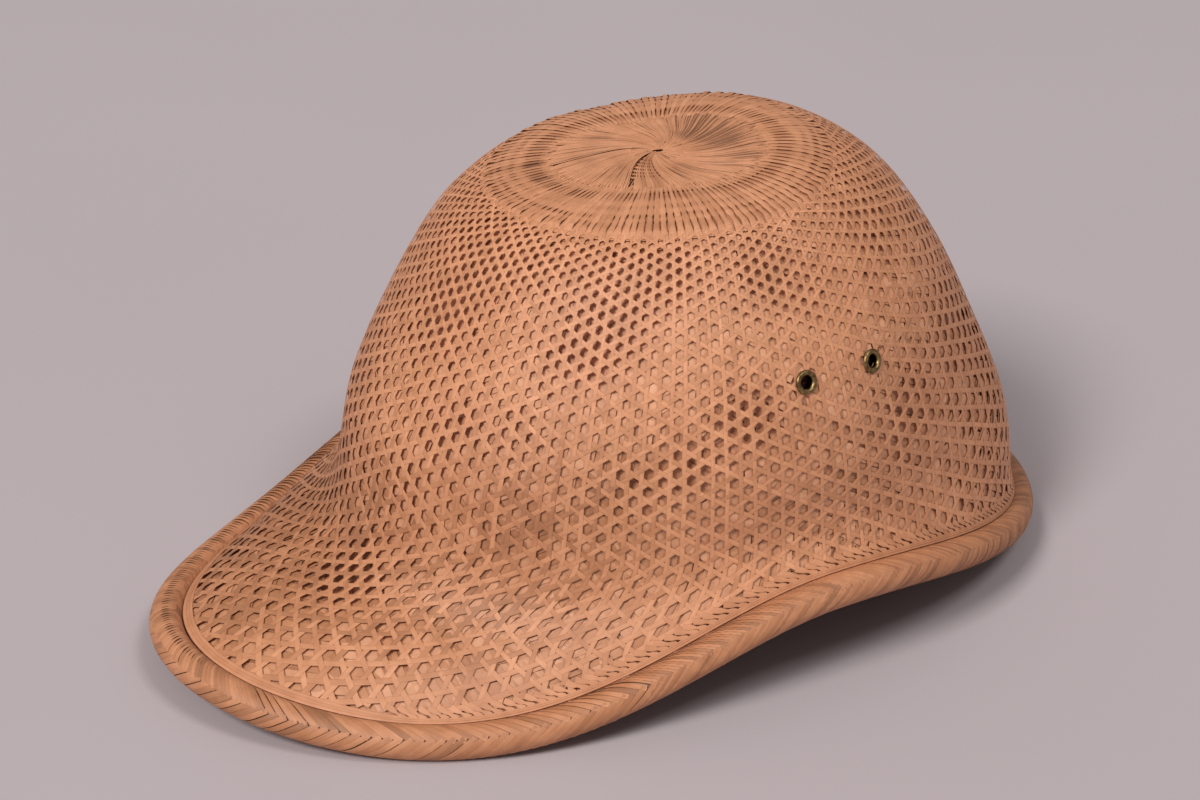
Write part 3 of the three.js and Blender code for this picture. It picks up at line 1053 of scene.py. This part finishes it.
class STRAWCAP_OT_edge_braid(bpy.types.Operator):
    """Braid the plump edge in a herringbone"""
    bl_idname = "straw_cap.edge_braid"
    bl_label = "Edge braid"

    PITCH = 2.75  # distance between straws along the edge
    RADIUS = 4.78  # of the herringbone, just inside the roll
    CORE_RADIUS = 4.0
    FINE_FROM = 0.6  # cosine of the azimuth from which the straws are finer, up to the back
    FINE_WIDTH = 0.62  # width of a finer straw against the others
    HALF_WIDTHS = (0.80, 0.86)
    TINTS = (0.08, 0.44)
    WAISTS = (0.36, 0.62)  # shares by which the straws of the comb are drawn in
    COMBED = 0.3  # share of the comb from which its straws are doubled

    def execute(self, context):
        straws = Straws(71)
        total = edge_rail()[1][-1]
        count = round(total / self.PITCH)
        for row in BRAID_ROWS:
            for k in range(count):
                start = (k + straws.random.uniform(-0.08, 0.08)) * total / count
                self.plait(straws, row, start)
        self.core(straws)
        piece = straws.build("edge_braid_straws")
        finish = straw_finish(context, "straw_braid", fibres=0.7, border_shade_and_bump=0.3)
        finish_piece(piece, finish, "edge_braid")
        return {"FINISHED"}

    def plait(self, straws, row, start):
        """One straw of a row at a place along the edge, or two side by side where they are fine."""
        middle, half, run = BRAID_ROWS[row]
        comb = self.comb(start) if row == "upper" else 0.0
        combed = comb > self.COMBED
        back = self.back(start)
        fine = math.cos(edge_azimuth(start)) < self.FINE_FROM
        section, narrow = (Straws.SLIM, self.FINE_WIDTH) if fine else (Straws.BROAD, 1)
        across = np.linspace(-1, 1, 9 if combed else 7)
        turn = np.radians(middle + across * half)
        slant = run / 2 * (1 - 0.9 * comb) * (1 - 0.35 * back)
        for half_pitch in (0.0, 0.5) if fine or combed else (0.0,):
            distance = start + half_pitch * self.PITCH - across * slant
            dip = 0.05 * np.abs(across) ** 6 + straws.random.uniform(-0.012, 0.012)
            waist = 1 - comb * straws.random.uniform(*self.WAISTS) * bell(across, 0.2, 0.36, 4)
            slit = straws.random.uniform(0.0, 0.09) * straws.random.integers(0, 2) * (1 + 4 * back)
            waist = waist - slit * bell(across, straws.random.uniform(-0.6, 0.6), 0.35)
            half_width = straws.random.uniform(*self.HALF_WIDTHS) * (1 - 0.14 * comb) * narrow * waist
            tint = straws.random.uniform(*self.TINTS) * (1 - 0.6 * back)
            self.lay(straws, distance, turn, self.RADIUS - dip, half_width, section, tint)

    def comb(self, distance):
        """How far the upper row opens into a comb at a place along the edge, from 0 to 1."""
        middle, spread = COMB
        aside = wrapped(edge_azimuth(distance) - middle)
        return math.exp(-((aside / spread) ** 4))

    def back(self, distance):
        """1 behind the cap, where the braid is darker and its straws part more, 0 at its front."""
        return float(smoothstep(0.1 - 0.9 * math.cos(edge_azimuth(distance))))

    def lay(self, straws, distance, turn, radius, half_width, section, tint):
        """One straw on the roll, from places along the edge and turns round it."""
        centre, out = edge_line(edge_azimuth(distance))
        normal = out * np.cos(turn)[:, None]
        normal[:, 2] += np.sin(turn)
        path = centre + resting_shift() + normal * radius[:, None]
        straws.add(path, normal, half_width, 0.025, section, tint=tint, bow=0.05)

    def core(self, straws):
        """Straws that run along inside the braid and fill it."""
        azimuth = np.linspace(0, TURN, 160, endpoint=False)
        centre, out = edge_line(azimuth)
        for middle in range(0, 360, 45):
            turn = math.radians(middle)
            normal = out * math.cos(turn) + np.array([0, 0, math.sin(turn)])
            path = centre + resting_shift() + normal * self.CORE_RADIUS
            # The core takes the darkest tone, so the gaps between the braid's straws look dark: painted
            # shade.
            straws.add(path, normal, 1.8, 0.3, section=Straws.ROUND, closed=True, tint=0.0)


def band_share(azimuth):
    """1 at the front of the peak, where the cord is a plain broad band, 0 at the sides and back."""
    middle, half, ease = BAND
    return 1 - smoothstep((np.abs(wrapped(azimuth - middle)) - half) / ease)


def wall_place(distance, inset):
    """Point and normal of the wall at a distance along the edge and an inset square to it."""
    azimuth = edge_azimuth(distance)
    for _ in range(2):
        end = edge_distance(azimuth)
        point, _, _ = surface(azimuth, end)
        before, _, _ = surface(azimuth, end - WALL_STEP)
        inward = unit(before - point)
        run = unit(edge_run(azimuth))
        square = np.linalg.norm(np.cross(inward, run), axis=-1)
        slip = inset / square * (inward * run).sum(-1)
        azimuth = edge_azimuth(distance - slip)
    return surface(azimuth, edge_distance(azimuth) - inset / square)[:2]


class STRAWCAP_OT_edge_cord(bpy.types.Operator):
    """Lay the cord and its stitches inside the edge"""
    bl_idname = "straw_cap.edge_cord"
    bl_label = "Edge cord"

    INSET = 5.78  # of the cord from the middle of the roll
    LANES = ((-2, 0.50), (0, 0.36), (2, 0.44))  # straws of the cord: place in half widths, tone
    STITCH_PITCH = 3.1
    STITCH_RUN = 5.6
    STITCH_INSET = (6.2, 3.3)  # inset at which a stitch starts, and its reach inward
    STITCH_HALF_WIDTH = 0.86
    STITCH_TINT = (0.40, 0.65)
    STITCH_END = 0.35  # share of the band from which there are no stitches

    def execute(self, context):
        straws = Straws(81)
        total = edge_rail()[1][-1]
        distance = np.linspace(0, total, 480, endpoint=False)
        front = band_share(edge_azimuth(distance))
        half_width = (0.82 + 0.68 * front) / 3
        rise = -0.03 + 0.14 * front
        for lane, tint in self.LANES:
            point, normal = wall_place(distance, self.INSET + 1.05 * front + lane * half_width)
            path = point + normal * (rise - 0.02 * abs(lane))[:, None]
            lapped = half_width * 1.04
            straws.add(path, normal, lapped, 0.10, Straws.BROAD, closed=True, tint=tint, bow=0.03)
        count = round(total / self.STITCH_PITCH)
        share = np.linspace(0, 1, 13)
        inset, reach = self.STITCH_INSET
        for k in range(count):
            start = (k + straws.random.uniform(-0.10, 0.10)) * total / count
            place = start - self.STITCH_RUN * share
            if band_share(edge_azimuth(place)).max() > self.STITCH_END:
                continue
            point, normal = wall_place(place, inset + reach * share)
            rise = 0.05 * np.sin(math.pi * share) - 0.03
            slit = straws.random.uniform(0.40, 0.54) * bell(share, 0.42, 0.17)
            tint = straws.random.uniform(*self.STITCH_TINT)
            half_width = self.STITCH_HALF_WIDTH - slit
            straws.add(point + normal * rise[:, None], normal, half_width, 0.03, tint=tint)
        piece = straws.build("edge_cord_straws")
        finish_piece(piece, straw_finish(context, "straw_cord"), "edge_cord")
        return {"FINISHED"}


def brass_material(context):
    """Dull old brass, painted near black inside its hole as painted shade."""
    kit = NodeKit("aged_brass")
    colour = tuple(context.scene.straw_cap.brass_colour)
    place = kit.add("ShaderNodeTexCoord")
    tarnish = kit.noise(place.outputs["Object"], 900.0, 4.0)
    dull = tuple(0.42 * c for c in colour)
    tone = kit.ramp(tarnish, ((0.36, dull), (0.62, colour)))
    hole_shade = kit.add("ShaderNodeAttribute", attribute_name="hole_shade")
    # Painted shade: the wall of the hole is painted near black.
    tone = kit.mix(hole_shade.outputs["Fac"], tone, tuple(0.06 * c for c in colour))
    kit.link(tone, kit.shader.inputs["Base Color"])
    kit.link(kit.span(tarnish, 0.30, 0.52), kit.shader.inputs["Roughness"])
    kit.shader.inputs["Metallic"].default_value = 1.0
    kit.bump(tarnish, 0.2, 0.0001)
    return kit.material


class STRAWCAP_OT_eyelets(bpy.types.Operator):
    """Press the brass eyelets into the wall"""
    bl_idname = "straw_cap.eyelets"
    bl_label = "Eyelets"

    SIDES = 48
    HOLE_SHADE_REACH = (1.85 * MM, 0.4 * MM)  # radius and height below which the brass is painted near black, as painted shade in the hole
    SHARP = math.radians(50)  # edges sharper than this stay sharp
    # Profile from the hole's lower rim up and over the flange and back: radius, height.
    PROFILE = (
        (1.80, -2.3), (1.75, -1.5), (1.75, 0.1), (1.92, 0.62), (2.30, 0.95), (2.75, 1.02),
        (3.12, 0.86), (3.35, 0.52), (3.35, 0.30), (2.35, 0.28), (2.35, -1.9), (2.9, -1.95), (3.1, -2.2),
        (2.6, -2.45),
    )

    def execute(self, context):
        material = brass_material(context)
        model = self.model()
        for name, (azimuth_deg, from_top) in EYELETS.items():
            select_only(model)
            bpy.ops.object.duplicate(linked=False)
            piece = context.view_layer.objects.active
            piece.name = f"brass_{name}"
            point, normal, _ = surface(np.radians([azimuth_deg]), np.array([from_top]))
            turn = Vector((0, 0, 1)).rotation_difference(Vector(normal[0])).to_matrix().to_4x4()
            piece.matrix_world = Matrix.Translation(Vector(point[0]) * MM) @ turn
            bpy.ops.object.transform_apply(location=True, rotation=True, scale=True)
            finish_piece(piece, material, name)
        bpy.data.objects.remove(model)
        return {"FINISHED"}

    def model(self):
        """One eyelet about the Z axis, drawn out ring by ring from its hole."""
        bpy.ops.object.select_all(action="DESELECT")
        radius, height = self.PROFILE[0]
        bpy.ops.mesh.primitive_circle_add(
            vertices=self.SIDES, radius=radius * MM, location=(0, 0, height * MM))
        model = bpy.context.view_layer.objects.active
        bpy.ops.object.transform_apply(location=True)
        bpy.ops.object.mode_set(mode="EDIT")
        bpy.ops.mesh.select_all(action="SELECT")
        for wider, higher in self.PROFILE[1:]:
            bpy.ops.mesh.extrude_region_move(
                TRANSFORM_OT_translate={"value": (0, 0, (higher - height) * MM)})
            ratio = wider / radius
            bpy.ops.transform.resize(value=(ratio, ratio, 1), center_override=(0, 0, higher * MM))
            radius, height = wider, higher
        bpy.ops.mesh.select_all(action="DESELECT")
        bpy.ops.mesh.select_non_manifold()
        bpy.ops.mesh.bridge_edge_loops()
        bpy.ops.mesh.select_all(action="SELECT")
        bpy.ops.mesh.normals_make_consistent(inside=False)
        bpy.ops.object.mode_set(mode="OBJECT")
        bpy.ops.object.shade_smooth_by_angle(angle=self.SHARP)
        # Marks the wall of the hole, which the brass paints near black as painted shade.
        hole_shade = model.data.attributes.new("hole_shade", "FLOAT", "POINT")
        radius, height = self.HOLE_SHADE_REACH
        for vertex, mark in zip(model.data.vertices, hole_shade.data):
            in_hole = vertex.co.xy.length < radius and vertex.co.z < height
            mark.value = 1.0 if in_hole else 0.0
        return model


def towards(azimuth_deg, elevation_deg):
    """Direction from the cap to a place at an azimuth and a height."""
    a, e = math.radians(azimuth_deg), math.radians(elevation_deg)
    return Vector((math.sin(a) * math.cos(e), -math.cos(a) * math.cos(e), math.sin(e)))


def area_light(name, azimuth_deg, elevation_deg, power):
    """Soft square light that looks at the cap from an azimuth and a height."""
    back = towards(azimuth_deg, elevation_deg)
    data = bpy.data.lights.new(name, "AREA")
    data.shape = "SQUARE"
    data.size = LIGHT_SIZE
    data.energy = power
    data.color = LIGHT_COLOUR
    light = bpy.data.objects.new(name, data)
    light.location = back * LIGHT_DISTANCE + Vector((0, 0, LIGHT_AIM))
    light.rotation_euler = back.to_track_quat("Z", "Y").to_euler()
    bpy.context.scene.collection.objects.link(light)


class STRAWCAP_OT_stage(bpy.types.Operator):
    """Set the floor, the soft light and the camera"""
    bl_idname = "straw_cap.stage"
    bl_label = "Stage"

    FLOOR_SIZE = 12.0

    def execute(self, context):
        scene = context.scene
        bpy.ops.object.select_all(action="DESELECT")
        bpy.ops.mesh.primitive_plane_add(size=self.FLOOR_SIZE)
        floor = context.view_layer.objects.active
        floor.name = "floor"
        kit = NodeKit("floor_paper")
        place = kit.add("ShaderNodeTexCoord")
        tone = kit.noise(place.outputs["Object"], 3.0, 2.0)
        colour = tuple(scene.straw_cap.floor_colour)
        darker = tuple(0.97 * c for c in colour)
        kit.link(kit.ramp(tone, ((0.3, darker), (0.7, colour))), kit.shader.inputs["Base Color"])
        kit.shader.inputs["Roughness"].default_value = 0.9
        kit.shader.inputs["Specular IOR Level"].default_value = 0.1
        floor.data.materials.append(kit.material)
        for light in LIGHTS:
            area_light(*light)
        world = bpy.data.worlds.new("studio")
        world.use_nodes = True
        background = world.node_tree.nodes["Background"]
        background.inputs["Color"].default_value = WORLD_COLOUR
        background.inputs["Strength"].default_value = WORLD_STRENGTH
        scene.world = world
        scene.view_settings.view_transform = "Standard"
        self.camera(scene)
        return {"FINISHED"}

    def camera(self, scene):
        a = math.radians(CAMERA_AZIMUTH)
        back = towards(CAMERA_AZIMUTH, CAMERA_ELEVATION)
        right = Vector((math.cos(a), math.sin(a), 0))
        target = right * CAMERA_SIDE + Vector((0, 0, CAMERA_HEIGHT)) + Vector(resting_shift())
        data = bpy.data.cameras.new("camera")
        data.sensor_width = SENSOR_WIDTH
        data.lens = FOCAL_PIXELS * SENSOR_WIDTH / PICTURE_WIDTH
        camera = bpy.data.objects.new("camera", data)
        camera.location = (target + back * CAMERA_DISTANCE) * MM
        camera.rotation_euler = back.to_track_quat("Z", "Y").to_euler()
        scene.collection.objects.link(camera)
        scene.camera = camera


OPERATORS = (
    STRAWCAP_OT_stage,
    STRAWCAP_OT_crown_weave,
    STRAWCAP_OT_lining_weave,
    STRAWCAP_OT_crown_top,
    STRAWCAP_OT_edge_braid,
    STRAWCAP_OT_edge_cord,
    STRAWCAP_OT_eyelets,
)


class STRAWCAP_PT_panel(bpy.types.Panel):
    """Lists the settings and the steps of the cap"""
    bl_idname = "STRAWCAP_PT_panel"
    bl_label = "Straw Cap"
    bl_space_type = "VIEW_3D"
    bl_region_type = "UI"
    bl_category = "Straw Cap"

    def draw(self, context):
        for name in StrawCapSettings.__annotations__:
            self.layout.prop(context.scene.straw_cap, name)
        for operator in OPERATORS:
            self.layout.operator(operator.bl_idname)


CLASSES = (StrawCapSettings, *OPERATORS, STRAWCAP_PT_panel)


def register():
    for cls in CLASSES:
        bpy.utils.register_class(cls)
    bpy.types.Scene.straw_cap = bpy.props.PointerProperty(type=StrawCapSettings)


def unregister():
    del bpy.types.Scene.straw_cap
    for cls in reversed(CLASSES):
        bpy.utils.unregister_class(cls)


def main():
    register()
    bpy.ops.object.select_all(action="DESELECT")
    bpy.ops.straw_cap.stage()
    bpy.ops.straw_cap.crown_weave()
    bpy.ops.straw_cap.lining_weave()
    bpy.ops.straw_cap.crown_top()
    bpy.ops.straw_cap.edge_braid()
    bpy.ops.straw_cap.edge_cord()
    bpy.ops.straw_cap.eyelets()


if __name__ == "__main__":
    main()
